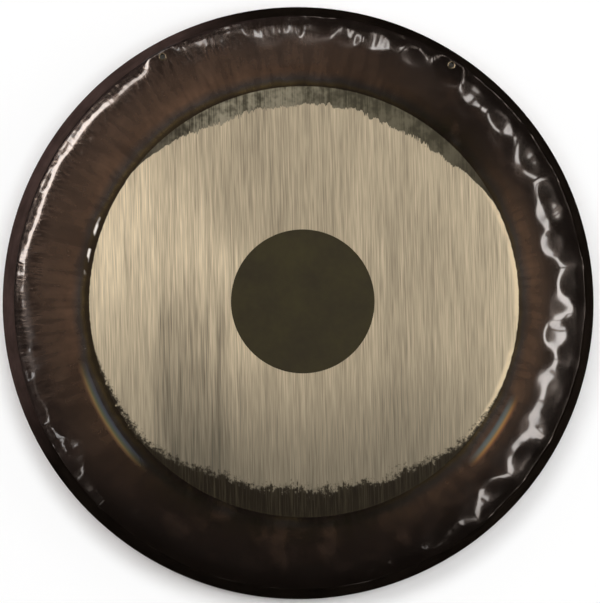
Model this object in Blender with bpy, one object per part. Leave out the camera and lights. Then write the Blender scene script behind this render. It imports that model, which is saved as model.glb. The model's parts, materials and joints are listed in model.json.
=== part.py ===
"""A symphonic gong: one sheet of bronze with a hammered, turned-back rim and two lined cord holes.

Metres, +Z up. The gong hangs with its axis along Y and its face towards -Y. The world origin is
where it hangs, midway between the two cord holes.

The pieces are worked out in the gong's own frame, which the empty gong_axis carries: its origin is
the middle of the face, x runs right, y up the face and z out of the face towards the player.
"""

import math

import bmesh
import bpy
import numpy as np

# Face and rim, measured on the front of the sheet
GONG_DIAMETER = 0.813
SHEET_THICKNESS = 0.0018
CENTRE_DIAMETER = 0.196
CENTRE_STEP = 0.0003
CROWN_DROP = 0.006
RIM_WIDTH = 0.1130
SHOULDER_WIDTH = 0.030
SLOPE_ANGLE = math.radians(12)
TURN_RADIUS = 0.008
LIP_ANGLE = math.radians(74)
LIP_LENGTH = 0.040

# Hammering of the rim: long facets that bend the sheet down to the ridge, wider on the right and
# narrower on the left, and two rings of round blows over them, faded out over the shoulder and down the
# lip. A side is its middle and its spread either way, in degrees clockwise from the top.
RIGHT_SIDE = (95, 65)
LEFT_SIDE = (298, 75)
INNER_BLOWS_SIDE = (95, 100)
FACET_SPACING = 0.064
FACET_WIDTH = 0.024
WIDER_ON_RIGHT = 0.019
NARROWER_ON_LEFT = 0.011
WIDTH_SPREAD = 0.25
STEADIER_ON_LEFT = 0.7
FACET_REACH = 0.054
LONGER_ON_LEFT = 0.4
FACET_SLOPE = 0.140
SLOPE_SPREAD = 0.15
FACET_SOFTNESS = 0.00042
SOFTER_ON_RIGHT = 1.1
BLOW_INSET = 0.022
BLOW_SPACING = 0.050
BLOW_HALF_WIDTH = 0.013
BLOW_DEPTH = 0.0008
FAINTER_ON_LEFT = 0.85
FAINTER_ON_RIGHT = 0.7
INNER_BLOW_INSET = 0.036
INNER_BLOW_SPACING = 0.060
INNER_BLOW_HALF_WIDTH = 0.017
INNER_BLOW_DEPTH = 0.0009
SHALLOWEST_BLOW = 0.5
BLOW_STRAY = 0.25
CREST_SHARPNESS = 0.00004
FADE_START = 0.010
FADE_WIDTH = 0.030
FADE_DOWN_LIP = 0.6
HAMMER_SEED = 41

# Cord holes and the eyelets that line them
CORD_HOLE_SPACING = 0.395
BORE_DIAMETER = 0.0068
BARREL_WALL = 0.00045
FLANGE_DIAMETER = 0.0110
FLANGE_HEIGHT = 0.0009
ROLL_DIAMETER = 0.0100
ROLL_HEIGHT = 0.0006
WASHER_DIAMETER = 0.0114
WASHER_THICKNESS = 0.0005
SEAT_MARGIN = 0.0004
FLAT_AROUND_HOLE = 0.020
FIT_GAP = 0.0003
DRILL_LENGTH = 0.015

# How finely the round forms are divided
GONG_SEGMENTS = 160
EYELET_SEGMENTS = 24
CROWN_ROWS = 3
SHOULDER_ROWS = 3
SLOPE_ROWS = 6
TURN_ROWS = 3
LIP_ROWS = 2
FLANGE_ROWS = 6
ROLL_ROWS = 4
MERGE_DISTANCE = 1e-6
SHARP_ANGLE = math.radians(35)

# Colour, roughness and metallic value of each finish
RAW_CENTRE = ((0.035, 0.027, 0.014), 0.6, 0.6)
SCRAPED_FIELD = ((0.38, 0.31, 0.20), 0.38, 1.0)
OXIDE_RIM = ((0.028, 0.018, 0.011), 0.25, 0.8)
EYELET_BRASS = ((0.16, 0.12, 0.07), 0.3, 1.0)

OUTER_RADIUS = GONG_DIAMETER / 2
CENTRE_RADIUS = CENTRE_DIAMETER / 2
FIELD_RADIUS = OUTER_RADIUS - RIM_WIDTH
BARREL_RADIUS = BORE_DIAMETER / 2 + BARREL_WALL


def clear_scene():
    for obj in list(bpy.data.objects):
        bpy.data.objects.remove(obj, do_unlink=True)


def finish_material(name, finish):
    colour, roughness, metallic = finish
    made = bpy.data.materials.new(name)
    made.use_nodes = True
    shader = made.node_tree.nodes["Principled BSDF"]
    shader.inputs["Base Color"].default_value = (*colour, 1.0)
    shader.inputs["Roughness"].default_value = roughness
    shader.inputs["Metallic"].default_value = metallic
    return made


def bend(start, end_angle, radius, rows):
    """The points after start on an arc that turns the profile down to end_angle."""
    r, z, angle = start
    return [
        (r + radius * (math.sin(a) - math.sin(angle)), z + radius * (math.cos(a) - math.cos(angle)), a)
        for a in np.linspace(angle, end_angle, rows + 1)[1:]
    ]


def straight(start, run, rows):
    """The points after start on a straight stretch that goes run further from the axis."""
    r, z, angle = start
    return [(r + step, z - step * math.tan(angle), angle) for step in np.linspace(0, run, rows + 1)[1:]]


def front_profile():
    """The front of the sheet outside the raw centre, as (radius, height, angle of fall) points.

    A low crown, a shoulder that bends down to the slope, the straight slope that is hammered, the
    tight turn, and the lip that runs back to the edge.
    """
    field_width = FIELD_RADIUS - CENTRE_RADIUS
    crown_angle = 2 * math.atan(CROWN_DROP / field_width)
    shoulder_radius = SHOULDER_WIDTH / (math.sin(SLOPE_ANGLE) - math.sin(crown_angle))
    lip_run = LIP_LENGTH * math.cos(LIP_ANGLE)
    turn_run = TURN_RADIUS * (math.sin(LIP_ANGLE) - math.sin(SLOPE_ANGLE))
    slope_run = RIM_WIDTH - SHOULDER_WIDTH - turn_run - lip_run

    profile = [(CENTRE_RADIUS, -CENTRE_STEP, 0.0)]
    profile += bend(profile[-1], crown_angle, field_width / math.sin(crown_angle), CROWN_ROWS)
    profile += bend(profile[-1], SLOPE_ANGLE, shoulder_radius, SHOULDER_ROWS)
    profile += straight(profile[-1], slope_run, SLOPE_ROWS)
    profile += bend(profile[-1], LIP_ANGLE, TURN_RADIUS, TURN_ROWS)
    profile += straight(profile[-1], lip_run, LIP_ROWS)
    return profile


def turn_start(profile):
    """The radius at which the slope ends and the sheet starts to turn back."""
    return profile[CROWN_ROWS + SHOULDER_ROWS + SLOPE_ROWS][0]


def sheet_section(profile):
    """Half of the sheet's section, from the middle of its front round the edge to the middle of its back."""
    front = [(0.0, 0.0), (CENTRE_RADIUS - CENTRE_STEP, 0.0)]
    front += [(r, z) for r, z, _ in profile]
    back = [
        (r - SHEET_THICKNESS * math.sin(angle), z - SHEET_THICKNESS * math.cos(angle))
        for r, z, angle in profile[:-1]
    ]
    edge_radius, edge_height, lip_angle = profile[-1]
    back.append((edge_radius - SHEET_THICKNESS / math.sin(lip_angle), edge_height))
    return front + back[::-1] + [(0.0, back[0][1])]


def revolve(section, segments, closed):
    """A bmesh turned about z from a section in the plane of x and z."""
    bm = bmesh.new()
    verts = [bm.verts.new((r, 0.0, z)) for r, z in section]
    ends = zip(verts, verts[1:] + verts[:1]) if closed else zip(verts, verts[1:])
    edges = [bm.edges.new(pair) for pair in ends]
    bmesh.ops.spin(
        bm, geom=verts + edges, cent=(0, 0, 0), axis=(0, 0, 1), angle=2 * math.pi, steps=segments, use_merge=True
    )
    bmesh.ops.remove_doubles(bm, verts=bm.verts, dist=MERGE_DISTANCE)
    bmesh.ops.recalc_face_normals(bm, faces=bm.faces)
    bm.normal_update()
    return bm


def smooth_step(values):
    values = np.clip(values, 0.0, 1.0)
    return values * values * (3 - 2 * values)


def lobe(turn, side):
    """1 at the middle of a side, falling to 0 over its spread on either side of that."""
    middle, spread = side
    away = np.abs(np.angle(np.exp(1j * (turn - math.radians(middle)))))
    return smooth_step(1 - away / math.radians(spread))


def strayed_turns(rng, count):
    """Turns at even steps clockwise from the top, each strayed by a random share of a step."""
    return (np.arange(count) + rng.uniform(-BLOW_STRAY, BLOW_STRAY, count)) * 2 * math.pi / count


def bent_facets(rng, distance, turn, ridge):
    """How far the long facets set the sheet back.

    A facet starts at an arc that bulges inwards, a width inside the ridge, and falls away from there at
    a steady slope. Neighbours meet in a soft crest.
    """
    count = round(2 * math.pi * ridge / FACET_SPACING)
    turns = strayed_turns(rng, count)
    right, left = lobe(turns, RIGHT_SIDE), lobe(turns, LEFT_SIDE)
    spread = WIDTH_SPREAD * (1 - STEADIER_ON_LEFT * left) * rng.uniform(-1, 1, count)
    widths = FACET_WIDTH * (1 + spread) + WIDER_ON_RIGHT * right - NARROWER_ON_LEFT * left
    reaches = FACET_REACH * (1 + LONGER_ON_LEFT * left)
    slopes = FACET_SLOPE * (1 - SLOPE_SPREAD * rng.uniform(0, 1, count))
    softness = FACET_SOFTNESS * (1 + SOFTER_ON_RIGHT * lobe(turn, RIGHT_SIDE))
    level = np.zeros_like(distance)
    for facet_turn, width, reach, slope in zip(turns, widths, reaches, slopes):
        arc = distance * np.angle(np.exp(1j * (turn - facet_turn)))
        fall = slope * (width * (1 - (arc / reach) ** 2) - (ridge - distance))
        level = np.logaddexp(level, fall / softness)
    return softness * level


def ring_of_blows(rng, distance, turn, radius, spacing, half_width, deepest):
    """How deep a ring of blows is. Each leaves a bowl-shaped hollow, and neighbours meet in a crest."""
    count = round(2 * math.pi * radius / spacing)
    turns = strayed_turns(rng, count)
    radii = radius + rng.uniform(-BLOW_STRAY, BLOW_STRAY, count) * half_width
    depths = deepest * rng.uniform(SHALLOWEST_BLOW, 1.0, count)
    level = np.zeros_like(distance)
    for blow_turn, blow_radius, depth in zip(turns, radii, depths):
        arc = distance * np.angle(np.exp(1j * (turn - blow_turn)))
        share = 1 - ((distance - blow_radius) / half_width) ** 2 - (arc / BLOW_HALF_WIDTH) ** 2
        level = np.logaddexp(level, depth * share / CREST_SHARPNESS)
    return CREST_SHARPNESS * level


def hammering(points, ridge, flat_centres):
    """How far the sheet is set back at each point of the face.

    The hammering fades in over the shoulder and out down the lip, and the sheet is left flat around the
    cord holes, where the eyelets seat.
    """
    rng = np.random.default_rng(HAMMER_SEED)
    distance, turn = np.linalg.norm(points, axis=1), np.arctan2(points[:, 0], points[:, 1])
    depth = bent_facets(rng, distance, turn, ridge)
    outer_blows = ring_of_blows(
        rng, distance, turn, ridge - BLOW_INSET, BLOW_SPACING, BLOW_HALF_WIDTH, BLOW_DEPTH
    )
    inner_blows = ring_of_blows(
        rng, distance, turn, ridge - INNER_BLOW_INSET, INNER_BLOW_SPACING, INNER_BLOW_HALF_WIDTH, INNER_BLOW_DEPTH
    )
    depth += outer_blows * (1 - FAINTER_ON_LEFT * lobe(turn, LEFT_SIDE) - FAINTER_ON_RIGHT * lobe(turn, RIGHT_SIDE))
    depth += inner_blows * lobe(turn, INNER_BLOWS_SIDE)
    slope_start = FIELD_RADIUS + SHOULDER_WIDTH
    depth *= smooth_step((distance - slope_start + FADE_START) / FADE_WIDTH)
    faded = OUTER_RADIUS - (1 - FADE_DOWN_LIP) * LIP_LENGTH * math.cos(LIP_ANGLE)
    depth *= 1 - smooth_step((distance - ridge) / (faded - ridge))
    for centre in flat_centres:
        depth *= smooth_step(np.linalg.norm(points - centre, axis=1) / FLAT_AROUND_HOLE - 1)
    return depth


def hammer(bm, depth_at):
    """Moves both faces of the sheet back together, so that it keeps its thickness."""
    outwards = [vert.normal if vert.normal.z > 0 else -vert.normal for vert in bm.verts]
    behind = [0.0 if vert.normal.z > 0 else SHEET_THICKNESS for vert in bm.verts]
    on_front = [vert.co + outward * inset for vert, outward, inset in zip(bm.verts, outwards, behind)]
    depths = depth_at(np.array([point[:2] for point in on_front]))
    for vert, outward, depth in zip(bm.verts, outwards, depths):
        vert.co -= outward * depth


def add_object(name, bm, parent):
    mesh = bpy.data.meshes.new(name)
    bm.to_mesh(mesh)
    bm.free()
    mesh.shade_smooth()
    mesh.set_sharp_from_angle(angle=SHARP_ANGLE)
    obj = bpy.data.objects.new(name, mesh)
    bpy.context.scene.collection.objects.link(obj)
    obj.parent = parent
    return obj


def add_copy(name, obj):
    made = bpy.data.objects.new(name, obj.data)
    bpy.context.scene.collection.objects.link(made)
    made.parent = obj.parent
    return made


class CordHole:
    """Where one cord hole lies on the slope. side is -1 for the left hole and 1 for the right."""

    def __init__(self, profile, side):
        self.radius = turn_start(profile) - (FLANGE_DIAMETER / 2 + SEAT_MARGIN) * math.cos(SLOPE_ANGLE)
        self.turn = side * math.asin(CORD_HOLE_SPACING / 2 / self.radius)
        self.height = np.interp(self.radius, [p[0] for p in profile], [p[1] for p in profile])
        self.across = self.radius * math.sin(self.turn)
        self.up = self.radius * math.cos(self.turn)

    def place(self, obj):
        """Sets a piece on the hole, with its own z along the hole and its origin on the front of the sheet."""
        obj.location = (self.across, self.up, self.height)
        obj.rotation_euler = (-SLOPE_ANGLE, 0.0, -self.turn)


def half_round(inner, outer, base, height, rows):
    """A rounded flange edge from the bore to the outer radius, bulging height away from base."""
    middle, half_width = (inner + outer) / 2, (outer - inner) / 2
    return [
        (middle - half_width * math.cos(a), base + height * math.sin(a)) for a in np.linspace(0, math.pi, rows + 1)
    ]


def eyelet_section():
    """The eyelet's closed section: domed flange in front, barrel, and the end rolled over behind."""
    bore = BORE_DIAMETER / 2
    roll_face = -(SHEET_THICKNESS + WASHER_THICKNESS + 2 * FIT_GAP)
    flange = half_round(bore, FLANGE_DIAMETER / 2, FIT_GAP, FLANGE_HEIGHT, FLANGE_ROWS)
    roll = half_round(bore, ROLL_DIAMETER / 2, roll_face, -ROLL_HEIGHT, ROLL_ROWS)
    return flange + [(BARREL_RADIUS, FIT_GAP), (BARREL_RADIUS, roll_face)] + roll[::-1]


def washer_section():
    """The flat washer between the back of the sheet and the eyelet's rolled end."""
    inner, outer = BARREL_RADIUS + FIT_GAP, WASHER_DIAMETER / 2
    near = -(SHEET_THICKNESS + FIT_GAP)
    far = near - WASHER_THICKNESS
    return [(inner, near), (outer, near), (outer, far), (inner, far)]


def add_gong_shell(parent, profile, holes):
    """The bronze sheet itself, revolved, hammered and drilled for the eyelets."""
    bm = revolve(sheet_section(profile), GONG_SEGMENTS, closed=False)
    ridge = turn_start(profile)
    flat_centres = [np.array([hole.across, hole.up]) for hole in holes]
    hammer(bm, lambda points: hammering(points, ridge, flat_centres))

    for face in bm.faces:
        middle = face.calc_center_median()
        distance = math.hypot(middle.x, middle.y)
        in_front = face.normal.z > 0
        face.material_index = 0 if in_front and distance < CENTRE_RADIUS - CENTRE_STEP else 2
        if in_front and CENTRE_RADIUS - CENTRE_STEP <= distance < FIELD_RADIUS:
            face.material_index = 1

    shell = add_object("gong_shell", bm, parent)
    shell.data.materials.append(finish_material("raw_centre", RAW_CENTRE))
    shell.data.materials.append(finish_material("scraped_field", SCRAPED_FIELD))
    shell.data.materials.append(finish_material("oxide_rim", OXIDE_RIM))
    for hole in holes:
        drill(shell, hole)
    return shell


def drill(shell, hole):
    """Cuts the round hole that an eyelet's barrel passes through."""
    bm = bmesh.new()
    bmesh.ops.create_cone(
        bm,
        cap_ends=True,
        segments=EYELET_SEGMENTS,
        radius1=BARREL_RADIUS + FIT_GAP,
        radius2=BARREL_RADIUS + FIT_GAP,
        depth=DRILL_LENGTH,
    )
    cutter = add_object("drill", bm, shell.parent)
    cutter.hide_render = True
    cutter.display_type = "WIRE"
    hole.place(cutter)
    cut = shell.modifiers.new(cutter.name, "BOOLEAN")
    cut.operation = "DIFFERENCE"
    cut.object = cutter


def add_eyelets(parent, holes):
    """An eyelet and its washer in each hole, pressed from brass."""
    brass = finish_material("eyelet_brass", EYELET_BRASS)
    left, right = holes
    for kind, section in (("cord_eyelet", eyelet_section()), ("clinch_washer", washer_section())):
        piece = add_object(f"{kind}_left", revolve(section, EYELET_SEGMENTS, closed=True), parent)
        piece.data.materials.append(brass)
        left.place(piece)
        right.place(add_copy(f"{kind}_right", piece))


def main():
    clear_scene()
    profile = front_profile()
    holes = [CordHole(profile, side) for side in (-1, 1)]

    gong_axis = bpy.data.objects.new("gong_axis", None)
    bpy.context.scene.collection.objects.link(gong_axis)
    gong_axis.rotation_euler = (math.pi / 2, 0.0, 0.0)
    gong_axis.location = (0.0, holes[0].height, -holes[0].up)

    add_gong_shell(gong_axis, profile, holes)
    add_eyelets(gong_axis, holes)


main()
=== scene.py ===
import json
import math

import bpy
import numpy as np
from mathutils import Matrix, Vector

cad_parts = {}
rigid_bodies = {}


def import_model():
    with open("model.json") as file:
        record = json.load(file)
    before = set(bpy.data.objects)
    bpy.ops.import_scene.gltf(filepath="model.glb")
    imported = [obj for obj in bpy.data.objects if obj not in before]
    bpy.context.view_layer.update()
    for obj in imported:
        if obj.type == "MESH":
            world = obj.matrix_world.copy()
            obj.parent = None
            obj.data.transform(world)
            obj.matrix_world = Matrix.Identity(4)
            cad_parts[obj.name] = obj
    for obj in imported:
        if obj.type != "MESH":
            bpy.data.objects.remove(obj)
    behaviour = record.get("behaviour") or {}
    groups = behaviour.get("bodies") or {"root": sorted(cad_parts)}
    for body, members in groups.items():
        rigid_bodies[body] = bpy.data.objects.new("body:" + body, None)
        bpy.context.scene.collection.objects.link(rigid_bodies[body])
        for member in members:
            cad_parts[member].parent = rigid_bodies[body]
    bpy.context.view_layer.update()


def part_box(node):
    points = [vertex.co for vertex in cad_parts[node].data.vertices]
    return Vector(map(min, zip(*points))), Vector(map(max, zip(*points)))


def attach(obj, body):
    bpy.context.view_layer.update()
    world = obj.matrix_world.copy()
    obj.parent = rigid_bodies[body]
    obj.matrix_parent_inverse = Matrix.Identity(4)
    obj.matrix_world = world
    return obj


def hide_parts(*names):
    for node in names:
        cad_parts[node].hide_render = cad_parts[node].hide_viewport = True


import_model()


# The gong: one round sheet of bronze, hammered to a low crown with a sloping rim and turned back at
# the edge into a deep lip. Each blow moves both faces of the sheet, so that it keeps its thickness.
# The front of the crown is scraped bright, and the rim and the back keep the oxide of the fire.
SHEET_THICKNESS = 0.0018
CENTRE_DIAMETER = 0.196
CENTRE_STEP = 0.0003
CROWN_DROP = 0.006
RIM_WIDTH = 0.1130
SHOULDER_WIDTH = 0.030
SLOPE_ANGLE = math.radians(12)
TURN_RADIUS = 0.008
LIP_ANGLE = math.radians(74)
LIP_LENGTH = 0.040

# Hammering: long facets bend the sheet down to the ridge, wider on the right and narrower on the left.
# A side is its middle and its spread either way, in degrees clockwise from the top.
RIGHT_SIDE, LEFT_SIDE = (95, 65), (298, 75)
FACET_SPACING = 0.064
FACET_WIDTH = 0.024
WIDER_ON_RIGHT = 0.019
NARROWER_ON_LEFT = 0.011
WIDTH_SPREAD = 0.25
STEADIER_ON_LEFT = 0.7
FACET_REACH = 0.054
LONGER_ON_LEFT = 0.4
FACET_SLOPE = 0.140
SLOPE_SPREAD = 0.15
FACET_SOFTNESS = 0.00042
SOFTER_ON_RIGHT = 1.1

# Rings of blows lie over the facets, each as (inset from the ridge, spacing, half width across the rim,
# half length along it, depth). The peen of the hammer leaves radial marks, and a few blows stray inwards.
OUTER_BLOWS = (0.022, 0.050, 0.013, 0.019, 0.0007)
INNER_BLOWS = (0.036, 0.060, 0.017, 0.020, 0.0008)
TAPS = (0.002, 0.019, 0.007, 0.0105, 0.00020)
PEEN_MARKS = (0.017, 0.0105, 0.012, 0.0042, 0.00022)
CROSS_PEENS = (0.012, 0.030, 0.020, 0.010, 0.00045)
STRAYS = (0.024, 0.034, 0.005, 0.005, 0.00032)
INNER_BLOWS_SIDE, TOP_SIDE, STRAYS_SIDE = (95, 100), (10, 42), (312, 50)
FAINTER_ON_LEFT = 0.85
FAINTER_ON_RIGHT = 0.7
PEEN_SHARE = 0.25
SHALLOWEST_BLOW = 0.5
BLOW_STRAY = 0.25
CREST_SOFTNESS = 0.16
FADE_START = 0.010
FADE_WIDTH = 0.030
LIP_LEFT_PLAIN = 0.4
HAMMER_SEED = 41
CORD_HOLE_SPACING = 0.395
FLANGE_DIAMETER = 0.0110
SEAT_MARGIN = 0.0004
FLAT_AROUND_HOLE = 0.016

GONG_SEGMENTS = 1080
CENTRE_ROWS = 2
CROWN_ROWS = 3
SHOULDER_ROWS = 12
SLOPE_ROWS = 28
TURN_ROWS = 8
LIP_ROWS = 4
SHARP_ANGLE = math.radians(35)

shell_low, shell_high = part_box("gong_shell")
OUTER_RADIUS = (shell_high.x - shell_low.x) / 2
MIDDLE_Z = (shell_high.z + shell_low.z) / 2
FACE_Y = shell_low.y
CENTRE_RADIUS = CENTRE_DIAMETER / 2
FIELD_RADIUS = OUTER_RADIUS - RIM_WIDTH
SLOPE_START = FIELD_RADIUS + SHOULDER_WIDTH
LIP_RUN = LIP_LENGTH * math.cos(LIP_ANGLE)
RIDGE_RADIUS = OUTER_RADIUS - LIP_RUN - TURN_RADIUS * (math.sin(LIP_ANGLE) - math.sin(SLOPE_ANGLE))


def bend(start, end_angle, radius, rows):
    """Rows on an arc of the profile: r grows with sin(a) and the drop with -cos(a), a from start to end."""
    r, drop, first = start
    a = np.linspace(first, end_angle, rows + 1)[1:]
    return np.column_stack(
        [r + radius * (np.sin(a) - math.sin(first)), drop + radius * (math.cos(first) - np.cos(a)), a]
    )


def straight(start, run, rows):
    """Rows on a straight stretch of the profile: the drop is the run times the tangent of the fall."""
    r, drop, angle = start
    step = np.linspace(0, run, rows + 1)[1:]
    return np.column_stack([r + step, drop + step * math.tan(angle), np.full(rows, angle)])


def front_profile(crown_rows, shoulder_rows, slope_rows, turn_rows, lip_rows):
    """The sheet's front outside the raw centre as rows of (radius, drop below the crown, angle of fall)."""
    field_width = FIELD_RADIUS - CENTRE_RADIUS
    crown_angle = 2 * math.atan(CROWN_DROP / field_width)
    shoulder_radius = SHOULDER_WIDTH / (math.sin(SLOPE_ANGLE) - math.sin(crown_angle))
    rows = [np.array([[CENTRE_RADIUS, CENTRE_STEP, 0.0]])]
    rows.append(bend(rows[-1][-1], crown_angle, field_width / math.sin(crown_angle), crown_rows))
    rows.append(bend(rows[-1][-1], SLOPE_ANGLE, shoulder_radius, shoulder_rows))
    rows.append(straight(rows[-1][-1], RIDGE_RADIUS - SLOPE_START, slope_rows))
    rows.append(bend(rows[-1][-1], LIP_ANGLE, TURN_RADIUS, turn_rows))
    rows.append(straight(rows[-1][-1], LIP_RUN, lip_rows))
    return np.vstack(rows)


def smooth_step(values):
    """3 v^2 - 2 v^3 of the values held between 0 and 1."""
    values = np.clip(values, 0.0, 1.0)
    return values * values * (3 - 2 * values)


def lobe(turn, side):
    """1 at the middle of a side, falling to 0 over its spread on either side of that, as a smooth step."""
    middle, spread = side
    away = np.abs(np.angle(np.exp(1j * (turn - math.radians(middle)))))
    return smooth_step(1 - away / math.radians(spread))


def strayed_turns(rng, count):
    """Turns at even steps clockwise from the top, each strayed by a random share of a step."""
    return (np.arange(count) + rng.uniform(-BLOW_STRAY, BLOW_STRAY, count)) * 2 * math.pi / count


def bent_facets(rng, r, turn):
    """How far the long facets set the sheet back at (r, turn).

    A facet starts at an arc that bulges inwards, a width w inside the ridge, and falls away from there at
    a steady slope s: s (w (1 - (arc/reach)^2) - (ridge - r)). Neighbours meet in a crest: together they
    are the soft maximum k log(1 + sum exp(facet / k)), with k the softness.
    """
    count = round(2 * math.pi * RIDGE_RADIUS / FACET_SPACING)
    turns = strayed_turns(rng, count)
    right, left = lobe(turns, RIGHT_SIDE), lobe(turns, LEFT_SIDE)
    spread = WIDTH_SPREAD * (1 - STEADIER_ON_LEFT * left) * rng.uniform(-1, 1, count)
    widths = FACET_WIDTH * (1 + spread) + WIDER_ON_RIGHT * right - NARROWER_ON_LEFT * left
    reaches = FACET_REACH * (1 + LONGER_ON_LEFT * left)
    slopes = FACET_SLOPE * (1 - SLOPE_SPREAD * rng.uniform(0, 1, count))
    softness = FACET_SOFTNESS * (1 + SOFTER_ON_RIGHT * lobe(turn, RIGHT_SIDE))
    level = np.zeros_like(r)
    for facet_turn, width, reach, slope in zip(turns, widths, reaches, slopes):
        arc = r * np.angle(np.exp(1j * (turn - facet_turn)))
        fall = slope * (width * (1 - (arc / reach) ** 2) - (RIDGE_RADIUS - r))
        level = np.logaddexp(level, fall / softness)
    return softness * level


def ring_of_hollows(rng, r, turn, ring):
    """How deep a ring of hammered hollows is at (r, turn): the soft maximum, as above, of a depth
    d (1 - (dr/half width)^2 - (arc/half length)^2) for each, with a softness in proportion to d."""
    inset, spacing, half_width, half_length, deepest = ring
    radius = RIDGE_RADIUS - inset
    count = round(2 * math.pi * radius / spacing)
    turns = strayed_turns(rng, count)
    radii = radius + rng.uniform(-BLOW_STRAY, BLOW_STRAY, count) * half_width
    depths = deepest * rng.uniform(SHALLOWEST_BLOW, 1.0, count)
    softness = CREST_SOFTNESS * deepest
    level = np.zeros_like(r)
    for hollow_turn, hollow_radius, depth in zip(turns, radii, depths):
        arc = r * np.angle(np.exp(1j * (turn - hollow_turn)))
        share = 1 - ((r - hollow_radius) / half_width) ** 2 - (arc / half_length) ** 2
        level = np.logaddexp(level, depth * share / softness)
    return softness * level


def hammering(r, turn, holes):
    """How far the hammer has set the sheet back at (r, turn), flat around the cord holes."""
    rng = np.random.default_rng(HAMMER_SEED)
    right, left, top = lobe(turn, RIGHT_SIDE), lobe(turn, LEFT_SIDE), lobe(turn, TOP_SIDE)
    depth = bent_facets(rng, r, turn)
    for ring, share in (
        (OUTER_BLOWS, 1 - FAINTER_ON_LEFT * left - FAINTER_ON_RIGHT * right),
        (INNER_BLOWS, lobe(turn, INNER_BLOWS_SIDE)),
        (TAPS, 1.0),
        (PEEN_MARKS, PEEN_SHARE),
        (CROSS_PEENS, top),
        (STRAYS, lobe(turn, STRAYS_SIDE)),
    ):
        depth += share * ring_of_hollows(rng, r, turn, ring)
    depth *= smooth_step((r - SLOPE_START + FADE_START) / FADE_WIDTH)
    hammered_to = OUTER_RADIUS - LIP_LEFT_PLAIN * LIP_RUN
    depth *= 1 - smooth_step((r - RIDGE_RADIUS) / (hammered_to - RIDGE_RADIUS))
    for hole_radius, hole_turn in holes:
        away = np.hypot(r * np.cos(turn) - hole_radius * math.cos(hole_turn),
                        r * np.sin(turn) - hole_radius * math.sin(hole_turn))
        depth *= smooth_step(away / FLAT_AROUND_HOLE - 1)
    return depth


def sheet_points(rows, behind, turn, holes):
    """World points of the sheet at rows x turns: the row's profile point, set back along its normal by
    the hammering and, for a row on the back, by the sheet's thickness. A turn runs clockwise from the top."""
    r, drop, angle = (column[:, None] for column in rows.T)
    wide_turn = np.broadcast_to(turn, (len(rows), len(turn)))
    wide_r = np.broadcast_to(r, wide_turn.shape)
    back = hammering(wide_r, wide_turn, holes) + behind[:, None]
    radius = r - back * np.sin(angle)
    points = [radius * np.sin(turn), FACE_Y + drop + back * np.cos(angle), MIDDLE_Z + radius * np.cos(turn)]
    return np.stack(points, axis=-1)


HOLE_RADIUS = RIDGE_RADIUS - (FLANGE_DIAMETER / 2 + SEAT_MARGIN) * math.cos(SLOPE_ANGLE)
HOLE_TURN = math.asin(CORD_HOLE_SPACING / 2 / HOLE_RADIUS)
cord_holes = {"left": (HOLE_RADIUS, -HOLE_TURN), "right": (HOLE_RADIUS, HOLE_TURN)}

front = front_profile(CROWN_ROWS, SHOULDER_ROWS, SLOPE_ROWS, TURN_ROWS, LIP_ROWS)
centre_radii = np.linspace(0, CENTRE_RADIUS - CENTRE_STEP, CENTRE_ROWS + 1)[1:]
centre = np.column_stack([centre_radii, *np.zeros((2, CENTRE_ROWS))])
back = front_profile(CROWN_ROWS, SHOULDER_ROWS // 2, SLOPE_ROWS // 2, TURN_ROWS // 2, LIP_ROWS // 2)[::-1]
edge = back[:1].copy()
edge[0, 0] -= SHEET_THICKNESS / math.sin(LIP_ANGLE)
rows = np.vstack([centre, front, edge, back[1:]])
behind = np.concatenate([np.zeros(len(centre) + len(front) + 1), np.full(len(back) - 1, SHEET_THICKNESS)])
turns = np.arange(GONG_SEGMENTS) * 2 * math.pi / GONG_SEGMENTS
sheet = sheet_points(rows, behind, turns, cord_holes.values())


def closed_skin(name, grid, poles=None):
    """A mesh over a grid of rows x turns. Each quad joins two rows and two turns, and the turns close on
    themselves. poles are the two points that close the first and the last row, or None for a ring."""
    count, around = grid.shape[:2]
    index = np.arange(count * around).reshape(count, around)
    following = np.roll(index, -1, axis=1)
    if poles is None:
        index, following = (np.vstack([part, part[:1]]) for part in (index, following))
    faces = np.stack([index[:-1], following[:-1], following[1:], index[1:]], axis=-1).reshape(-1, 4).tolist()
    points = grid.reshape(-1, 3)
    if poles is not None:
        start, end = len(points), len(points) + 1
        points = np.vstack([points, poles])
        faces += np.column_stack([np.full(around, start), following[0], index[0]]).tolist()
        faces += np.column_stack([np.full(around, end), index[-1], following[-1]]).tolist()
    mesh = bpy.data.meshes.new(name)
    mesh.from_pydata(points.tolist(), [], faces)
    return mesh


def show(name, mesh):
    """The object of a finished mesh, at the origin and shaded smooth up to its sharp edges."""
    mesh.update()
    mesh.shade_smooth()
    mesh.set_sharp_from_angle(angle=SHARP_ANGLE)
    made = bpy.data.objects.new(name, mesh)
    bpy.context.scene.collection.objects.link(made)
    return made


def on_slope(section, side, segments):
    """World points of a section of (radius, height) rows turned about a cord hole's own axis, which leans
    with the slope: the heights run out of the sheet from its front."""
    radius, height = (column[:, None] for column in np.array(section).T)
    a = np.arange(segments) * 2 * math.pi / segments
    x, y = radius * np.sin(a), radius * np.cos(a)
    hole_radius, turn = cord_holes[side]
    drop = np.interp(hole_radius, front[:, 0], front[:, 1])
    out = hole_radius + y * math.cos(SLOPE_ANGLE) + height * math.sin(SLOPE_ANGLE)
    back_by = drop + y * math.sin(SLOPE_ANGLE) - height * math.cos(SLOPE_ANGLE)
    points = [x * math.cos(turn) + out * math.sin(turn), FACE_Y + back_by,
              MIDDLE_Z - x * math.sin(turn) + out * math.cos(turn)]
    return np.stack(points, axis=-1)


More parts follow.
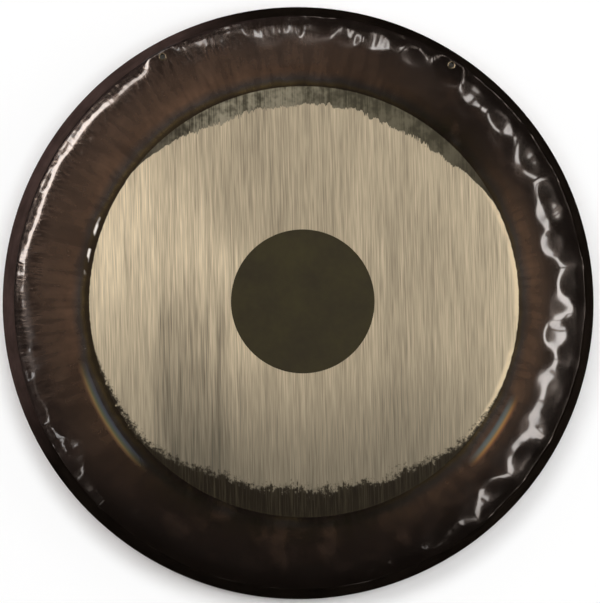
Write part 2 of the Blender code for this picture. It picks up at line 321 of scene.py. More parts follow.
BARREL_RADIUS = 0.00385
FIT_GAP = 0.0003
DRILL_LENGTH = 0.015
DRILL_SEGMENTS = 64
RAW_CENTRE, OPEN_FRONT, LIP, BACK = range(4)
SHEET_FINISHES = ("raw_centre", "scraped_front", "blackened_lip", "forged_back")
LAST_POLISHED_ANGLE = math.radians(42)

poles = np.array([[0, FACE_Y, MIDDLE_Z], [0, FACE_Y + SHEET_THICKNESS, MIDDLE_Z]])
sheet_mesh = closed_skin("hammered_sheet", sheet, poles)
for name in SHEET_FINISHES:
    sheet_mesh.materials.append(bpy.data.materials.new(name))
row_finish = np.full(len(rows), BACK)
row_finish[:CENTRE_ROWS] = RAW_CENTRE
polished = front[:, 2] < LAST_POLISHED_ANGLE
row_finish[CENTRE_ROWS:CENTRE_ROWS + len(front)] = np.where(polished, OPEN_FRONT, LIP)
finishes = [np.repeat(row_finish[1:], GONG_SEGMENTS), np.full(GONG_SEGMENTS, RAW_CENTRE),
            np.full(GONG_SEGMENTS, BACK)]
sheet_mesh.polygons.foreach_set("material_index", np.concatenate(finishes).astype(np.int32))
gong = show("hammered_gong", sheet_mesh)
for side in cord_holes:
    half, radius = DRILL_LENGTH / 2, BARREL_RADIUS + FIT_GAP
    section = [(radius, half), (radius, -half)]
    ends = on_slope([(0, half), (0, -half)], side, 1)[:, 0]
    drill_mesh = closed_skin("drill", on_slope(section, side, DRILL_SEGMENTS), ends)
    for name in SHEET_FINISHES:
        drill_mesh.materials.append(bpy.data.materials[name])
    drill_mesh.polygons.foreach_set("material_index", np.full(len(drill_mesh.polygons), BACK, np.int32))
    drill = show("drill", drill_mesh)
    cut = gong.modifiers.new("cord_hole", "BOOLEAN")
    cut.operation = "DIFFERENCE"
    cut.object = drill
bpy.context.view_layer.update()
drilled = bpy.data.meshes.new_from_object(gong.evaluated_get(bpy.context.evaluated_depsgraph_get()))
gong.modifiers.clear()
gong.data = drilled
for drill in [made for made in bpy.data.objects if made.name.startswith("drill")]:
    bpy.data.objects.remove(drill, do_unlink=True)
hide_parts("gong_shell")
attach(gong, "root")


def put(tree, kind, inputs=(), **settings):
    """A shader node with its settings and its inputs, each a value or another node's output."""
    made = tree.nodes.new("ShaderNode" + kind)
    for name, value in settings.items():
        setattr(made, name, value)
    for key, value in dict(inputs).items():
        if isinstance(value, bpy.types.NodeSocket):
            tree.links.new(value, made.inputs[key])
        else:
            made.inputs[key].default_value = value
    return made


def maths(tree, operation, *values):
    """A number worked out from values, each a number or a node's output."""
    return put(tree, "Math", enumerate(values), operation=operation).outputs[0]


def product(tree, *values):
    """The values multiplied together."""
    made = values[0]
    for value in values[1:]:
        made = maths(tree, "MULTIPLY", made, value)
    return made


def blend(tree, *parts, start=0.0):
    """The start with each part added to it. A part is a value and the share of it that is taken."""
    made = start
    for value, share in parts:
        made = maths(tree, "MULTIPLY_ADD", value, share, made)
    return made


def vectors(tree, operation, first, second=(0, 0, 0), scale=1.0):
    """Vector maths, as a number where the operation gives one and otherwise as a vector."""
    made = put(tree, "VectorMath", {0: first, 1: second, 3: scale}, operation=operation)
    return made.outputs["Value" if operation in ("DOT_PRODUCT", "DISTANCE", "LENGTH") else "Vector"]


def rise(tree, value, low, high, start=0.0, end=1.0):
    """A smooth step from start, where the value is low, to end, where it is high."""
    inputs = {"Value": value, "From Min": low, "From Max": high, "To Min": start, "To Max": end}
    return put(tree, "MapRange", inputs, interpolation_type="SMOOTHSTEP").outputs["Result"]


def tint(value):
    """A node's output as it is, or a colour of three numbers with its alpha."""
    return value if isinstance(value, bpy.types.NodeSocket) else (*value, 1)


def mix(tree, share, first, second):
    """The first colour where the share is 0, and the second where it is 1."""
    inputs = {0: share, 6: tint(first), 7: tint(second)}
    return put(tree, "Mix", inputs, data_type="RGBA").outputs[2]


def cloud(tree, place, size, detail=2.0, roughness=0.5):
    """Noise of about 0 to 1 whose patches measure size, in metres."""
    inputs = {"Vector": place, "Scale": 1 / size, "Detail": detail, "Roughness": roughness}
    return put(tree, "TexNoise", inputs).outputs[0]


def ramp(tree, value, stops):
    """Colours along the value: stops are (place, colour) pairs."""
    made = put(tree, "ValToRGB", {"Fac": value})
    elements = made.color_ramp.elements
    for number, (place, colour) in enumerate(stops):
        element = elements[number] if number < 2 else elements.new(place)
        element.position, element.color = place, (*colour, 1)
    return made.outputs["Color"]


def bump(tree, height, strength, distance):
    """The normal of a relief of the given height."""
    return put(tree, "Bump", {"Height": height, "Strength": strength, "Distance": distance}).outputs[0]


def stretched(tree, width, length, lean):
    """Object coordinates in which a mark width across and length up the face, leaning anticlockwise by
    lean, measures 1 by 1."""
    settings = {"Location": (0, 0, MIDDLE_Z), "Rotation": (0, -lean, 0), "Scale": (width, 1, length)}
    place = put(tree, "TexCoord").outputs["Object"]
    return put(tree, "Mapping", {"Vector": place, **settings}, vector_type="TEXTURE").outputs[0]


def effect(name, inputs, outputs):
    """A new node group with named sockets, as (tree, input node, output node)."""
    tree = bpy.data.node_groups.new(name, "ShaderNodeTree")
    for direction, sockets in (("INPUT", inputs), ("OUTPUT", outputs)):
        for label, kind in sockets.items():
            tree.interface.new_socket(label, in_out=direction, socket_type="NodeSocket" + kind)
    return tree, tree.nodes.new("NodeGroupInput"), tree.nodes.new("NodeGroupOutput")


def finish(name):
    """A material by its name, made where it is new, as (its node tree, its Principled shader)."""
    made = bpy.data.materials.get(name) or bpy.data.materials.new(name)
    made.use_nodes = True
    return made.node_tree, made.node_tree.nodes["Principled BSDF"]


def wire(tree, shader, sockets, values=()):
    """Links a shader's varying sockets and sets its plain values."""
    for name, socket in sockets.items():
        tree.links.new(socket, shader.inputs[name])
    for name, value in dict(values).items():
        shader.inputs[name].default_value = value


# Fire scale: the oxide that the forge leaves, in soft clouds with a fine grain, a little rougher where it
# is thicker. The raw centre, the rim, the back and the tarnished eyelets all carry it.
BROAD_CLOUD, SMALL_CLOUD, GRAIN = (0.055, 3.0), (0.011, 3.0, 0.6), (0.0016, 2.0, 0.6)
THICK_IS_ROUGHER = 0.06
fire_scale, given, made_of = effect(
    "fire_scale",
    {"Place": "Vector", "Thin": "Color", "Thick": "Color", "Roughness": "Float"},
    {"Colour": "Color", "Roughness": "Float", "Height": "Float"},
)
broad, small, grain = (
    cloud(fire_scale, given.outputs["Place"], *size) for size in (BROAD_CLOUD, SMALL_CLOUD, GRAIN)
)
cover = rise(fire_scale, blend(fire_scale, (broad, 0.65), (small, 0.35)), 0.28, 0.72)
for label, socket in (
    ("Colour", mix(fire_scale, cover, given.outputs["Thin"], given.outputs["Thick"])),
    ("Roughness", blend(fire_scale, (cover, THICK_IS_ROUGHER), start=given.outputs["Roughness"])),
    ("Height", blend(fire_scale, (grain, 0.3), (small, 0.7))),
):
    fire_scale.links.new(socket, made_of.inputs[label])


def scale_over(tree, place, thin, thick, roughness):
    """The outputs of fire scale on a piece: its colours where thin and thick, and the thin's roughness."""
    inputs = {"Place": place, "Thin": tint(thin), "Thick": tint(thick), "Roughness": roughness}
    return put(tree, "Group", inputs, node_tree=fire_scale).outputs


# The raw centre is left as forged inside the scraped ring: flat, matt and dark olive brown.
tree, shader = finish("raw_centre")
place = put(tree, "TexCoord").outputs["Object"]
skin = scale_over(tree, place, (0.038, 0.031, 0.010), (0.023, 0.017, 0.006), 0.5)
normal = bump(tree, skin["Height"], 0.5, 0.0002)
wire(tree, shader, {"Base Color": skin["Colour"], "Roughness": skin["Roughness"], "Normal": normal},
     {"Metallic": 0.2})


# The front round the raw centre: bare metal scraped up and down the face, then the glossy brown oxide of
# the rim. The scraper stops short at the top, where a green-grey ring stays, and at the bottom, where its
# edge is ragged and burnt.
BRUSH_LEAN = math.radians(2.6)
SCRAPED_MIDDLE = (0.0031, 0, 0)

# Sides of the front, each as (turn, cosine off it where the side begins, cosine where it is full).
TOP, BOTTOM, LOWER_HALF = (5, 0.50, 0.92), (178, 0.62, 1.0), (184, 0.25, 0.65)
PAINTED_LIGHT_SIDE, SHADED_SIDE, LIT_RING_SIDE = (262, 0.42, 1.0), (190, -0.2, 1.0), (310, 0.3, 1.0)
SHEEN_SIDE, SHOULDER_SHEEN_SIDE = (305, -0.15, 0.75), (104, 0.45, 1.0)
HATCHED_SIDE, LIT_MARGIN_SIDE = (298, 0.3, 0.85), (290, 0.2, 0.8)
GLINT_SIDE = (286, math.cos(math.radians(11)), math.cos(math.radians(8)))

# Widths left unscraped, in metres: each the growth with its noise, and what is added to that.
TOP_RING, BOTTOM_RING, NICKED, CRUMBLED = (0.036, 0.001), (0.060, 0.001), (0.011, 0.0022), (0.034, -0.016)
FIELD_MARGIN = 0.0004
DISC_EDGE = 0.0012
LOWER_SOFTNESS = 0.009

# The metal by the tone of its scratches, and the shares by which painted light and shade make places on it
# brighter or darker.
METAL_TONES = ((0.37, (0.245, 0.206, 0.142)), (0.46, (0.38, 0.318, 0.220)),
               (0.53, (0.48, 0.402, 0.276)), (0.63, (0.63, 0.527, 0.368)))
PAINTED_LIGHT_GAIN, SIDE_SHEEN_GAIN, SHADE_LOSS, DARK_BAND_LOSS = 0.56, 0.21, -0.42, -0.48
SHADED_METAL, PALE_EDGE_METAL = (0.15, 0.148, 0.115), (0.80, 0.66, 0.44)

# The oxide from the shoulder, at 0, to the gong's edge, at 1, where a warm sheen is painted on it and where
# it is painted dull, in shade.
SHEEN_OXIDE = ((0.0, (0.020, 0.015, 0.006)), (0.035, (0.060, 0.042, 0.016)), (0.085, (0.042, 0.037, 0.034)),
              (0.19, (0.100, 0.056, 0.034)), (0.40, (0.072, 0.043, 0.028)), (0.75, (0.056, 0.036, 0.027)),
              (0.86, (0.040, 0.026, 0.023)), (1.0, (0.028, 0.018, 0.018)))
SHADED_OXIDE = ((0.0, (0.004, 0.002, 0.001)), (0.10, (0.006, 0.005, 0.002)), (0.17, (0.012, 0.008, 0.004)),
              (0.4, (0.010, 0.006, 0.004)), (0.8, (0.005, 0.003, 0.002)), (1.0, (0.0015, 0.001, 0.0008)))
BLACK_MARGIN, GLINT_WHITE = (0.0022, 0.0014, 0.0010), (0.85, 0.80, 0.74)

# Temper colours in two short arcs under the shoulder: the heat tint is the metal's own, and its brightness
# there is a painted reflection where the shoulder catches the light. Each is as (turn, degrees either way,
# radii between which it comes and goes, its colours outwards).
TEMPER_SHEENS = (
    (238, 17, (0.303, 0.307, 0.3145, 0.319),
     ((0.0, (0.05, 0.06, 0.09)), (0.45, (0.085, 0.10, 0.06)), (0.75, (0.20, 0.13, 0.05)),
      (1.0, (0.10, 0.05, 0.03)))),
    (122.5, 11, (0.310, 0.315, 0.322, 0.327),
     ((0.0, (0.06, 0.10, 0.12)), (0.4, (0.12, 0.13, 0.10)), (0.7, (0.32, 0.16, 0.05)),
      (1.0, (0.12, 0.05, 0.03)))),
)
TEMPER_SHEEN_STRENGTH = 0.8

tree, shader = finish("scraped_front")
place = stretched(tree, 1, 1, 0)
flat = vectors(tree, "MULTIPLY", place, (1, 0, 1))
off_middle = vectors(tree, "DISTANCE", flat, SCRAPED_MIDDLE)
radius = vectors(tree, "LENGTH", flat)
heading = vectors(tree, "NORMALIZE", flat)
apart = put(tree, "SeparateXYZ", {0: place}).outputs


def towards(turn):
    """1 in the direction of a turn in degrees clockwise from the top, falling to -1 on the other side."""
    t = math.radians(turn)
    return vectors(tree, "DOT_PRODUCT", heading, (math.sin(t), 0, math.cos(t)))


def on_side(side, start=0.0, end=1.0):
    """A smooth step from start, off a side, to end on it."""
    turn, begins, full = side
    return rise(tree, towards(turn), begins, full, start, end)


def either_side(turn, begins, full):
    """1 towards a turn and towards the turn opposite it, falling to 0 between them."""
    return rise(tree, maths(tree, "ABSOLUTE", towards(turn)), begins, full)


def between(value, low, low_full, high_full, high):
    """1 from low_full to high_full, falling to 0 at low and at high."""
    return product(tree, rise(tree, value, low, low_full), rise(tree, value, high, high_full))


def line(value, growth, start):
    """A straight line: start plus growth times the value."""
    return maths(tree, "MULTIPLY_ADD", value, growth, start)


def brushed(width, length, detail=2.0):
    """Noise of marks along the brush strokes, width across and length long."""
    return cloud(tree, stretched(tree, width, length, BRUSH_LEAN), 1.0, detail)


def spokes(width, length):
    """Noise of radial marks, width across and length out from the middle."""
    turned = vectors(tree, "SCALE", heading, scale=RIDGE_RADIUS / width)
    outward = put(tree, "CombineXYZ", {"Y": maths(tree, "DIVIDE", radius, length)}).outputs[0]
    return cloud(tree, vectors(tree, "ADD", turned, outward), 1.0, 1.0)


fine, hair = brushed(0.0018, 0.100), brushed(0.0012, 0.040, 1.0)
strokes, swaths = brushed(0.006, 0.16), brushed(0.055, 0.45, 1.0)
patches, nicks = cloud(tree, place, 0.035, 3.0), cloud(tree, place, 0.009)
crumbs = cloud(tree, place, 0.0055, 3.0, 0.7)
scratches = blend(tree, (fine, 0.55), (hair, 0.45))
ragged = blend(tree, (patches, 0.6), (fine, 0.4))

# How far the scraper reached.
top, lower = on_side(TOP), on_side(LOWER_HALF)
unscraped = maths(tree, "MAXIMUM", product(tree, top, line(ragged, *TOP_RING)),
                  product(tree, on_side(BOTTOM), line(ragged, *BOTTOM_RING)))
unscraped = blend(tree, (nicks, line(top, *NICKED)), (lower, line(crumbs, *CRUMBLED)), start=unscraped)
scraped_to = maths(tree, "SUBTRACT", FIELD_RADIUS + FIELD_MARGIN, unscraped)
inside = maths(tree, "DIVIDE", maths(tree, "SUBTRACT", scraped_to, off_middle),
               line(lower, LOWER_SOFTNESS, DISC_EDGE))
bare = rise(tree, inside, 0.0, 1.0)
disc = rise(tree, off_middle, FIELD_RADIUS, FIELD_RADIUS - DISC_EDGE)

# The bare metal: a band at the lower left is darker, a painted shade, and its edge is lighter at both sides.
metal = ramp(tree, blend(tree, (scratches, 0.62), (strokes, 0.24), (swaths, 0.14)), METAL_TONES)
streaky = rise(tree, blend(tree, (strokes, 1.0), (fine, 0.7)), 0.71, 0.97, 1.0, 0.55)
painted_dark_band = product(tree, between(apart["X"], -0.205, -0.190, -0.108, -0.090),
                rise(tree, apart["Z"], 0.090, -0.06), streaky)
# Painted light and shade: the metal is brighter at the left, with a painted sheen towards the field's left
# and right edges, and darker and greyer towards the bottom.
sides = product(tree, rise(tree, radius, 0.20, 0.285), either_side(90, 0.55, 1.0))
shade = product(tree, on_side(SHADED_SIDE), rise(tree, radius, 0.08, 0.27))
gain = blend(tree, (on_side(PAINTED_LIGHT_SIDE), PAINTED_LIGHT_GAIN), (sides, SIDE_SHEEN_GAIN), start=1.0)
gain = product(tree, gain, line(shade, SHADE_LOSS, 1.0), line(painted_dark_band, DARK_BAND_LOSS, 1.0))
metal = vectors(tree, "SCALE", metal, scale=gain)
metal = mix(tree, product(tree, shade, 0.25), metal, SHADED_METAL)
pale_edge = product(tree, rise(tree, radius, FIELD_RADIUS - 0.007, FIELD_RADIUS - 0.002),
               either_side(86, 0.62, 0.9), rise(tree, patches, 0.3, 0.6, 0.3, 0.9))
metal = mix(tree, pale_edge, metal, PALE_EDGE_METAL)

# The ring that the scraper missed: half scraped at the top, burnt at the bottom. At the top it is painted
# paler towards the upper left, where the light falls.
grey_green = mix(tree, on_side(LIT_RING_SIDE), (0.098, 0.088, 0.058), (0.25, 0.225, 0.16))
half_scraped = mix(tree, rise(tree, blend(tree, (ragged, 1.0), (nicks, 0.5)), 0.61, 0.89),
                   (0.034, 0.031, 0.019), grey_green)
burnt = mix(tree, rise(tree, scratches, 0.42, 0.70), (0.006, 0.0045, 0.002), (0.036, 0.030, 0.018))
missed_ring = mix(tree, top, burnt, half_scraped)

# The rim's oxide, with radial marks, black towards the edge.
rim_share = maths(tree, "DIVIDE", maths(tree, "SUBTRACT", radius, FIELD_RADIUS), RIM_WIDTH)
warm = ramp(tree, blend(tree, (rim_share, 1.0), (patches, 0.10), start=-0.05), SHEEN_OXIDE)
# Painted sheen and shade: the warm sheen lies at the upper left and by the shoulder at the right, dull shade
# elsewhere, and random patches of warmth are the oxide's own mottling.
sheen_and_mottling = product(tree, on_side(SHEEN_SIDE), rise(tree, patches, 0.15, 0.75, 0.6, 1.0))
shoulder_sheen = product(tree, on_side(SHOULDER_SHEEN_SIDE), rise(tree, radius, 0.350, 0.318), 0.8)
sheen_and_mottling = maths(tree, "MAXIMUM", sheen_and_mottling, shoulder_sheen)
sheen_and_mottling = maths(tree, "MAXIMUM", sheen_and_mottling, rise(tree, patches, 0.45, 0.72, 0.0, 0.35))
thin = mix(tree, sheen_and_mottling, ramp(tree, rim_share, SHADED_OXIDE), warm)
hatched = product(tree, rise(tree, radius, RIDGE_RADIUS - 0.040, RIDGE_RADIUS - 0.022),
                  on_side(HATCHED_SIDE), rise(tree, spokes(0.0035, 0.018), 0.44, 0.60, 0.0, 0.85))
thin = mix(tree, hatched, thin, (0.010, 0.006, 0.005))
thin = mix(tree, rise(tree, spokes(0.011, 0.050), 0.34, 0.80, 0.0, 0.5), thin, (0.014, 0.009, 0.007))
wavering = maths(tree, "MULTIPLY_ADD", patches, 0.010, radius)
margin = rise(tree, wavering, RIDGE_RADIUS - 0.022, RIDGE_RADIUS + 0.003)
near_ridge = rise(tree, wavering, RIDGE_RADIUS - 0.038, RIDGE_RADIUS)
# The oxide darkens to black towards the ridge, and is painted lighter at the left, where the light falls.
thin = mix(tree, product(tree, near_ridge, on_side(LIT_MARGIN_SIDE, 0.92, 0.25)), thin, BLACK_MARGIN)
skin = scale_over(tree, place, thin, mix(tree, 0.55, thin, (0.006, 0.004, 0.003)), 0.09)
oxide = skin["Colour"]
for turn, spread, radii, tints in TEMPER_SHEENS:
    arc = rise(tree, towards(turn), math.cos(math.radians(spread)), 1.0)
    outwards = rise(tree, radius, radii[0] + 0.001, radii[-1] - 0.001)
    share = product(tree, arc, between(radius, *radii), TEMPER_SHEEN_STRENGTH)
    oxide = mix(tree, share, oxide, ramp(tree, outwards, tints))
# Painted glints: small near-white spots on the left shoulder that stand for the light caught there.
painted_glints = product(tree, between(radius, 0.2945, 0.2968, 0.2976, 0.3000), on_side(GLINT_SIDE),
                 rise(tree, cloud(tree, place, 0.012, 0.0), 0.60, 0.74))
oxide = mix(tree, painted_glints, oxide, GLINT_WHITE)

# Lacquer-like gloss lies on the oxide alone, and has gone from the black margin but for its lit left side.
coat = maths(tree, "SUBTRACT", 1.0, maths(tree, "MAXIMUM", bare, product(tree, disc, 0.85)))
coat = product(tree, coat, line(product(tree, margin, on_side(LIT_MARGIN_SIDE, 1.0, 0.0)), -0.92, 1.0))
relief = blend(tree, (scratches, line(bare, 0.8, 0.1)), (skin["Height"], 0.25), (hatched, 1.5))
wire(tree, shader, {
    "Base Color": mix(tree, bare, mix(tree, disc, oxide, missed_ring), metal),
    "Metallic": product(tree, bare, 0.30),
    "Roughness": mix(tree, disc, skin["Roughness"], rise(tree, scratches, 0.3, 0.7, 0.46, 0.36)),
    "Coat Weight": coat,
    "Normal": bump(tree, relief, 0.35, 0.0002),
}, {"Coat Roughness": 0.05, "Specular Tint": (1.0, 0.82, 0.70, 1)})


# The lip and the back keep a thick matt scale with the hammer's marks all over. The lip is nearly black
# and the back dark brown, and both are browner at the upper left: on the lip this is painted light, and on
# the back the brown there is darker.
MARKS_PER_METRE = 36.0
UPPER_LEFT = (-0.927, 0, 0.375)
BROWN_FROM, BROWN_TO, BROWN_SHARE = 0.09, 0.20, 0.8
BROWN_THIN, BROWN_THICK = (0.054, 0.034, 0.030), (0.028, 0.018, 0.015)
MATT = 0.42
hammer_marks, given, made_of = effect(
    "hammer_marks", {"Place": "Vector", "Height": "Float"}, {"Normal": "Vector"},
)
marks = put(hammer_marks, "TexVoronoi", {"Vector": given.outputs["Place"], "Scale": MARKS_PER_METRE,
                                         "Smoothness": 0.35}, feature="SMOOTH_F1").outputs["Distance"]
hollows = blend(hammer_marks, (given.outputs["Height"], 0.25), start=marks)
hammer_marks.links.new(bump(hammer_marks, hollows, 0.4, 0.0012), made_of.inputs["Normal"])
for name, scale_thin, scale_thick, specular in (
    ("blackened_lip", (0.0065, 0.0046, 0.0034), (0.0025, 0.0018, 0.0013), 0.0),
    ("forged_back", (0.110, 0.072, 0.046), (0.040, 0.027, 0.019), 0.5),
):
    tree, shader = finish(name)
    place = put(tree, "TexCoord").outputs["Object"]
    to_upper_left = vectors(tree, "DOT_PRODUCT", place, UPPER_LEFT)
    brown = rise(tree, to_upper_left, BROWN_FROM, BROWN_TO, 0.0, BROWN_SHARE)
    skin = scale_over(tree, place, mix(tree, brown, scale_thin, BROWN_THIN),
                      mix(tree, brown, scale_thick, BROWN_THICK), MATT)
    hammered = put(tree, "Group", {"Place": place, "Height": skin["Height"]}, node_tree=hammer_marks).outputs
    wire(tree, shader, {"Base Color": skin["Colour"], "Roughness": skin["Roughness"],
                        "Normal": hammered["Normal"]}, {"Specular IOR Level": specular})


# An eyelet lines each cord hole: a brass tube pressed from sheet, with a domed flange in front and its
# far end rolled over a washer behind, so that the cord doesn't chafe. Both are tarnished as the rim is.
BORE_DIAMETER = 0.0068
FLANGE_HEIGHT = 0.0009
ROLL_DIAMETER = 0.0100
ROLL_HEIGHT = 0.0006
WASHER_DIAMETER = 0.0114
WASHER_THICKNESS = 0.0005
WASHER_BEVEL = 0.0001
EYELET_SEGMENTS = 96
FLANGE_ROWS = 16
ROLL_ROWS = 12


def half_round(inner, outer, base, height, count):
    """Half an ellipse from the bore to the outer radius: middle - w cos(a) by base + height sin(a)."""
    a = np.linspace(0, math.pi, count + 1)
    return np.column_stack([(inner + outer) / 2 - (outer - inner) / 2 * np.cos(a), base + height * np.sin(a)])


bore = BORE_DIAMETER / 2
roll_face = -(SHEET_THICKNESS + WASHER_THICKNESS + 2 * FIT_GAP)
flange = half_round(bore, FLANGE_DIAMETER / 2, FIT_GAP, FLANGE_HEIGHT, FLANGE_ROWS)
roll = half_round(bore, ROLL_DIAMETER / 2, roll_face, -ROLL_HEIGHT, ROLL_ROWS)
eyelet_section = np.vstack([flange, [(BARREL_RADIUS, FIT_GAP), (BARREL_RADIUS, roll_face)], roll[::-1]])
near, far = -(SHEET_THICKNESS + FIT_GAP), -(SHEET_THICKNESS + FIT_GAP + WASHER_THICKNESS)
hole_side, rim_side = BARREL_RADIUS + FIT_GAP, WASHER_DIAMETER / 2
bevel = WASHER_BEVEL
washer_section = np.array([
    (hole_side, near), (rim_side - bevel, near), (rim_side, near - bevel), (rim_side, far + bevel),
    (rim_side - bevel, far), (hole_side, far),
])

SCALE_SHRUNK = 8
tree, shader = finish("tarnished_brass")
place = put(tree, "TexCoord").outputs["Object"]
enlarged = vectors(tree, "SCALE", place, scale=SCALE_SHRUNK)
skin = scale_over(tree, enlarged, (0.34, 0.27, 0.18), (0.09, 0.068, 0.042), 0.24)
normal = bump(tree, skin["Height"], 0.3, 0.00005)
wire(tree, shader, {"Base Color": skin["Colour"], "Roughness": skin["Roughness"], "Normal": normal},
     {"Metallic": 1.0})
for side in cord_holes:
    for name, section, node in (
        ("eyelet", eyelet_section, "cord_eyelet"), ("washer", washer_section, "clinch_washer"),
    ):
        piece = show(f"turned_{name}_{side}", closed_skin(name, on_slope(section, side, EYELET_SEGMENTS)))
        piece.data.materials.append(bpy.data.materials["tarnished_brass"])
        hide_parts(f"{node}_{side}")
        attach(piece, "root")


# The camera stands where the photographer did, a little to the left of the gong's axis and below it, and
# held slightly askew.
IMAGE_WIDTH, IMAGE_HEIGHT = 600, 603
SILHOUETTE_RADIUS_PX = 296.1
SILHOUETTE_MIDDLE_PX = (299.5, 302.6)
CAMERA_AZIMUTH = math.radians(-3.8)
CAMERA_ELEVATION = math.radians(-1.5)
CAMERA_ROLL = math.radians(-1.33)
LENS = 250.0
camera_data = bpy.data.cameras.new("camera")
camera_data.lens = LENS
camera = bpy.data.objects.new("camera", camera_data)
bpy.context.scene.collection.objects.link(camera)
bpy.context.scene.camera = camera
metres_per_px = OUTER_RADIUS / SILHOUETTE_RADIUS_PX
distance = IMAGE_HEIGHT * metres_per_px * LENS / camera_data.sensor_width
level = math.cos(CAMERA_ELEVATION)
away = Vector((math.sin(CAMERA_AZIMUTH) * level, -math.cos(CAMERA_AZIMUTH) * level,
               math.sin(CAMERA_ELEVATION)))
turned = (-away).to_track_quat("-Z", "Y").to_matrix() @ Matrix.Rotation(-CAMERA_ROLL, 3, "Z")
right, up = turned.col[0], turned.col[1]
target = Vector((0, shell_high.y, MIDDLE_Z))
target += (IMAGE_WIDTH / 2 - SILHOUETTE_MIDDLE_PX[0]) * metres_per_px * right
target -= (IMAGE_HEIGHT / 2 - SILHOUETTE_MIDDLE_PX[1]) * metres_per_px * up
camera.matrix_world = Matrix.Translation(target + away * distance) @ turned.to_4x4()


# The studio: a white wall that the gong hangs against, a pale floor, and a dark room behind the camera.
# Both are seen only from the front and from above. The wall is painted near black behind the gong, a painted
# shade where no light gets, and the gong's soft shadow round it is partly cast and partly painted.
WALL_GAP = 0.008
FLOOR_BELOW = 1.5
FLOOR_DEPTH = 1.1
STAGE_REACH = 6.0
SHADOW_SHIFT = (0.004, -0.008)
SHADOW_START, SHADOW_END = -0.004, 0.034
WALL_GLOW = 0.9
PAINTED_SHADE_FADE = 0.03
PAINTED_SHADE_BEHIND, WALL_WHITE = (0.01, 0.01, 0.01), (0.95, 0.95, 0.95)
stage = bpy.data.materials.new("studio_white")
stage.use_nodes = True
tree = stage.node_tree
tree.nodes.clear()
light_path = put(tree, "LightPath").outputs
seen = maths(tree, "MAXIMUM", light_path["Is Camera Ray"], light_path["Is Glossy Ray"])
seen = maths(tree, "MAXIMUM", seen, light_path["Is Transmission Ray"])
glow = put(tree, "Emission", {"Color": (1, 1, 1, 1), "Strength": 1.0}).outputs[0]
shadow_middle = (SHADOW_SHIFT[0], shell_high.y + WALL_GAP, MIDDLE_Z + SHADOW_SHIFT[1])
off_shadow = vectors(tree, "DISTANCE", put(tree, "TexCoord").outputs["Object"], shadow_middle)
# The painted shadow: the wall's glow is held back round the gong, and its paint is near black behind it.
glow_beyond_shadow = rise(tree, off_shadow, OUTER_RADIUS + SHADOW_START, OUTER_RADIUS + SHADOW_END, 0.0, WALL_GLOW)
beyond_painted_shade = rise(tree, off_shadow, OUTER_RADIUS - PAINTED_SHADE_FADE, OUTER_RADIUS)
paint = put(tree, "BsdfDiffuse", {"Color": mix(tree, beyond_painted_shade, PAINTED_SHADE_BEHIND, WALL_WHITE)}).outputs[0]
white = put(tree, "MixShader", {0: maths(tree, "MULTIPLY", seen, glow_beyond_shadow), 1: paint, 2: glow}).outputs[0]
from_behind = put(tree, "NewGeometry").outputs["Backfacing"]
passing = maths(tree, "MAXIMUM", from_behind, light_path["Is Shadow Ray"])
clear = put(tree, "BsdfTransparent").outputs[0]
result = put(tree, "MixShader", {0: passing, 1: white, 2: clear}).outputs[0]
put(tree, "OutputMaterial", {"Surface": result})


def stage_plane(name, corners):
    """A flat backdrop whose corners run anticlockwise as seen from the side that shows."""
    mesh = bpy.data.meshes.new(name)
    mesh.from_pydata(corners, [], [(0, 1, 2, 3)])
    mesh.materials.append(stage)
    made = bpy.data.objects.new(name, mesh)
    bpy.context.scene.collection.objects.link(made)


wall_y, floor_z, reach = shell_high.y + WALL_GAP, shell_low.z - FLOOR_BELOW, STAGE_REACH
front_y = wall_y - FLOOR_DEPTH
stage_plane("wall", [(-reach, wall_y, floor_z), (reach, wall_y, floor_z),
                     (reach, wall_y, reach), (-reach, wall_y, reach)])
stage_plane("floor", [(-reach, front_y, floor_z), (reach, front_y, floor_z),
                      (reach, reach, floor_z), (-reach, reach, floor_z)])


def lamp(name, place, width, height, radiance, colour=(1, 1, 1)):
    """A flat panel that faces the middle of the gong and gives an even radiance."""
    data = bpy.data.lights.new(name, "AREA")
    data.shape = "RECTANGLE"
    data.size, data.size_y = width, height
    data.energy = radiance * math.pi * width * height
    data.color = colour
    made = bpy.data.objects.new(name, data)
    made.location = place
    made.rotation_euler = (Vector((0, 0, MIDDLE_Z)) - Vector(place)).to_track_quat("-Z", "Y").to_euler()
    made.visible_camera = False
    bpy.context.scene.collection.objects.link(made)
    return made


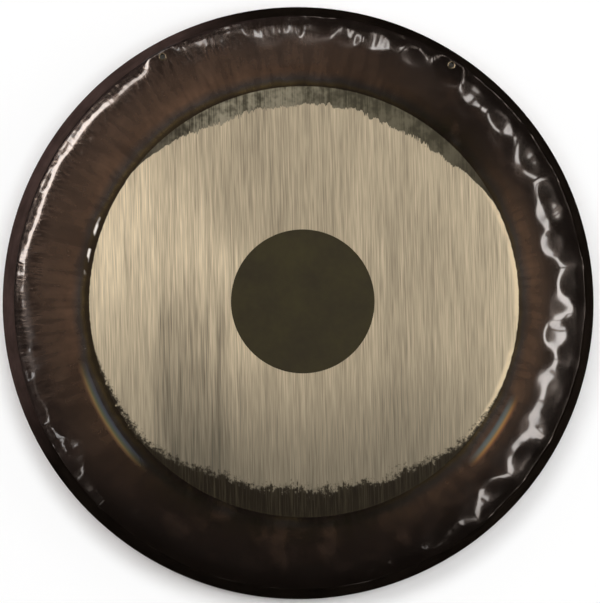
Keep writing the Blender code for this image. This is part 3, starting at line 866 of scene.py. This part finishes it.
# Strip lights stand on an arc round the camera, end to end at the left and broken up at the top and right.
# Each is (turn on the arc, width across it, length along it, radiance, colour).
ARC_MIDDLE = (0.095, -2.2, MIDDLE_Z + 0.04)
ARC_RADIUS = 2.05
KEY_PINK, WHITE = (1, 0.94, 0.91), (1, 1, 1)
STRIPS = (
    (267, 0.12, 0.05, 6, KEY_PINK), (271.5, 0.14, 0.08, 8, KEY_PINK),
    (283, 0.24, 0.55, 12, KEY_PINK), (298, 0.30, 0.50, 13, KEY_PINK), (312, 0.28, 0.45, 13, KEY_PINK),
    (324, 0.20, 0.24, 9, KEY_PINK), (332, 0.34, 0.06, 7, KEY_PINK), (341, 0.34, 0.06, 8, KEY_PINK),
    (350, 0.36, 0.06, 8, WHITE), (359, 0.38, 0.06, 9, WHITE), (7, 0.36, 0.06, 8, WHITE),
    (16, 0.26, 0.10, 8, WHITE), (27, 0.24, 0.16, 7, WHITE), (35, 0.22, 0.12, 6, WHITE),
    (42, 0.24, 0.14, 7, WHITE), (52, 0.16, 0.30, 6, WHITE), (63, 0.34, 0.20, 7, WHITE),
    (74, 0.16, 0.45, 8, WHITE), (90, 0.15, 0.55, 9, WHITE), (104, 0.20, 0.36, 8, WHITE),
    (116, 0.26, 0.40, 7, WHITE), (128, 0.22, 0.26, 6, WHITE), (138, 0.18, 0.14, 5, WHITE),
    (148, 0.16, 0.05, 3, WHITE), (224, 0.12, 0.05, 5, WHITE), (233, 0.18, 0.05, 6, WHITE),
    (245, 0.22, 0.06, 7, WHITE), (256, 0.20, 0.04, 6, WHITE),
)
for turn, width, length, radiance, colour in STRIPS:
    t = math.radians(turn)
    place = Vector(ARC_MIDDLE) + ARC_RADIUS * Vector((math.sin(t), 0, math.cos(t)))
    strip = lamp(f"strip_{turn}", place, width, length, radiance, colour)
    strip.rotation_euler.rotate_axis("Z", math.pi / 2 - t)

# Broad panels fill in from the sides, from above and from behind. Each is (name, place, width, height,
# radiance, whether the gong mirrors it).
PANELS = (
    ("rake_left", (-2.9, -1.3, 0.3), 1.4, 1.8, 6.2, False),
    ("rake_right", (2.9, -1.3, -0.2), 1.4, 1.8, 5.35, False),
    ("rake_top", (0.0, -1.4, 2.5), 1.8, 1.2, 4.2, False),
    ("far_right", (2.7, -1.2, -0.2), 0.5, 2.0, 12, True),
    ("back_left", (-2.2, 2.6, 0.8), 1.2, 1.6, 3.5, True),
    ("back_right", (2.4, 2.2, 0.2), 0.6, 1.6, 3.5, True),
)
for name, place, width, height, radiance, mirrored in PANELS:
    lamp(name, place, width, height, radiance).visible_glossy = mirrored


# The world is the rest of the studio: open walls at the left, shaded ones elsewhere, and a dark room in
# front of the gong, with a patchy halo round the strip lights and two warm spots.
DARK_ROOM, OPEN_STUDIO, SHADED_STUDIO = (0.035, 0.033, 0.032), (0.55, 0.55, 0.56), (0.13, 0.13, 0.13)
OPEN_SIDE = (-0.9, 0, 0.3)
HALO, SEEN_SKY = (0.70, 0.65, 0.63), (0.86, 0.86, 0.86)
WARM_SPOTS = (((-0.70, -2.3, 0.55), 24, (0.20, 0.14, 0.105)), ((1.05, -2.3, 0.0), 17, (0.16, 0.12, 0.09)))
world = bpy.data.worlds.new("studio")
bpy.context.scene.world = world
world.use_nodes = True
tree = world.node_tree
direction = put(tree, "TexCoord").outputs["Generated"]


def within(axis, begins, full):
    """A smooth step from 0, begins degrees off an axis, to 1, full degrees off it."""
    cosine = vectors(tree, "DOT_PRODUCT", direction, Vector(axis).normalized())
    return rise(tree, cosine, math.cos(math.radians(begins)), math.cos(math.radians(full)))


to_left = vectors(tree, "DOT_PRODUCT", direction, OPEN_SIDE)
studio_walls = mix(tree, rise(tree, to_left, 0.2, 0.75), SHADED_STUDIO, OPEN_STUDIO)
around = mix(tree, within((0, -1, 0), 72, 54), studio_walls, DARK_ROOM)
to_arc = Vector(ARC_MIDDLE) - Vector((0, 0, MIDDLE_Z))
upward = put(tree, "SeparateXYZ", {0: direction}).outputs["Z"]
halo = product(tree, within(to_arc, 40, 35), within(to_arc, 26, 33),
               rise(tree, cloud(tree, direction, 0.16, 1.0), 0.42, 0.62),
               rise(tree, upward, -0.36, -0.12), rise(tree, to_left, -0.1, 0.35, 0.25, 1.0))
around = mix(tree, halo, around, HALO)
for axis, reach, colour in WARM_SPOTS:
    around = mix(tree, within(axis, reach, 0), around, colour)
light_path = put(tree, "LightPath").outputs
seen = maths(tree, "MAXIMUM", light_path["Is Camera Ray"], light_path["Is Transmission Ray"])
tree.links.new(mix(tree, seen, around, SEEN_SKY), tree.nodes["Background"].inputs["Color"])
bpy.context.scene.view_settings.view_transform = "Standard"
